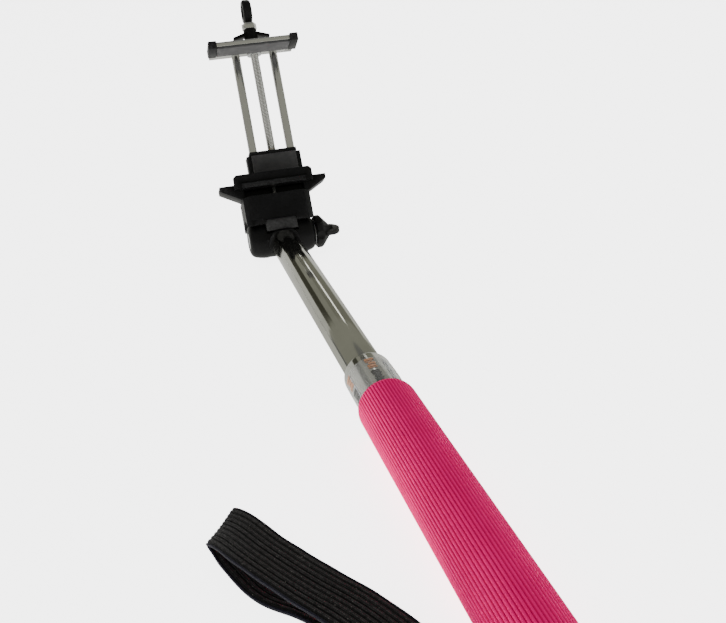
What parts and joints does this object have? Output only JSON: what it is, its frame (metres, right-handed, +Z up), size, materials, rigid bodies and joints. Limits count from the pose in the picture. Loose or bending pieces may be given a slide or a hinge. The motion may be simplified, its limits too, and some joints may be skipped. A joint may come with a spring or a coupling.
{
  "type": "selfie stick",
  "caption": "Telescopic hand-held stick with a ribbed grip, wrist strap, tilting forked head and a screw-driven phone clamp.",
  "frame": {"origin": "centre of the bounding box's base, on the table the stick lies on, measured without the strap and its tie", "axes": "+Y along the stick from the grip to the head, +X to the side knob, +Z up"},
  "size_m": [0.091, 0.4153, 0.1144],
  "materials": {
    "grip_foam": "matt ribbed foam",
    "tube_steel": "polished",
    "label_film": "clear printed film",
    "cap_black": "satin",
    "screw_steel": "zinc plated",
    "keeper_black": "satin",
    "tie_cord": "braided",
    "webbing": "ribbed weave",
    "bush_plastic": "plain",
    "head_black": "satin",
    "brass_insert": "machined",
    "tongue_grey": "satin",
    "clamp_black": "satin",
    "pad_rubber": "matt",
    "clamp_chrome": "polished",
    "paddle_black": "satin"
  },
  "bodies": {
    "handle": {"grip_sleeve": "grip_foam", "outer_tube": "tube_steel", "label_band": "label_film", "end_cap": "cap_black", "cap_screw": "screw_steel", "strap_keeper": "keeper_black", "strap_tie": "tie_cord", "wrist_strap": "webbing"},
    "section_2": {"tube_2": "tube_steel", "bush_2": "bush_plastic"},
    "section_3": {"tube_3": "tube_steel", "bush_3": "bush_plastic"},
    "section_4": {"tube_4": "tube_steel", "bush_4": "bush_plastic"},
    "section_5": {"tube_5": "tube_steel", "bush_5": "bush_plastic"},
    "section_6": {"tube_6": "tube_steel", "bush_6": "bush_plastic"},
    "head": {"tube_7": "tube_steel", "bush_7": "bush_plastic", "fork": "head_black", "fork_screw": "screw_steel", "hinge_bolt": "screw_steel", "knob_washer": "screw_steel"},
    "knob": {"side_knob": "head_black", "knob_insert": "brass_insert"},
    "holder": {"tilt_tongue": "tongue_grey", "tongue_stud": "screw_steel", "clamp_block": "clamp_black", "block_insert": "brass_insert", "lower_jaw": "clamp_black", "jaw_screw": "clamp_chrome", "rod_collars": "clamp_black", "lower_pad": "pad_rubber", "guide_tower": "clamp_black", "tower_screws": "screw_steel", "back_pad": "pad_rubber", "lead_nut": "brass_insert"},
    "top_jaw": {"top_plate": "clamp_chrome", "top_pad": "pad_rubber", "plate_ends": "clamp_black", "saddle": "clamp_black", "guide_rods": "clamp_chrome"},
    "screw": {"lead_screw": "clamp_chrome", "screw_clip": "screw_steel", "hex_nut": "clamp_chrome", "thumb_paddle": "paddle_black"}
  },
  "joints": [
    {"name": "slide_2", "type": "slide", "parent": "handle", "child": "section_2", "axis": [0, 1, 0], "range_m": [0, 0.145]},
    {"name": "slide_3", "type": "slide", "parent": "section_2", "child": "section_3", "axis": [0, 1, 0], "range_m": [-0.145, 0]},
    {"name": "slide_4", "type": "slide", "parent": "section_3", "child": "section_4", "axis": [0, 1, 0], "range_m": [0, 0.145]},
    {"name": "slide_5", "type": "slide", "parent": "section_4", "child": "section_5", "axis": [0, 1, 0], "range_m": [0, 0.145]},
    {"name": "slide_6", "type": "slide", "parent": "section_5", "child": "section_6", "axis": [0, 1, 0], "range_m": [0, 0.145]},
    {"name": "slide_7", "type": "slide", "parent": "section_6", "child": "head", "axis": [0, 1, 0], "range_m": [0, 0.145]},
    {"name": "head_tilt", "type": "hinge", "parent": "head", "child": "holder", "pos_m": [0, 0.13874, 0.00975], "axis": [1, 0, 0], "range_deg": [-96, 4]},
    {"name": "knob_turn", "type": "hinge", "parent": "head", "child": "knob", "pos_m": [0.0163, 0.13874, 0.00975], "axis": [1, 0, 0], "range_deg": [-720, 180]},
    {"name": "jaw_slide", "type": "slide", "parent": "holder", "child": "top_jaw", "axis": [0, 0.4695, 0.8829], "range_m": [-0.014, 0.012]},
    {"name": "clamp_screw", "type": "hinge", "parent": "top_jaw", "child": "screw", "pos_m": [0.004, 0.19204, 0.09466], "axis": [0, 0.4695, 0.8829], "range_deg": [-7200, 6180]}
  ],
  "couplings": [
    {"joint": "clamp_screw", "follows": "jaw_slide", "rad_per_m": 8976}
  ]
}
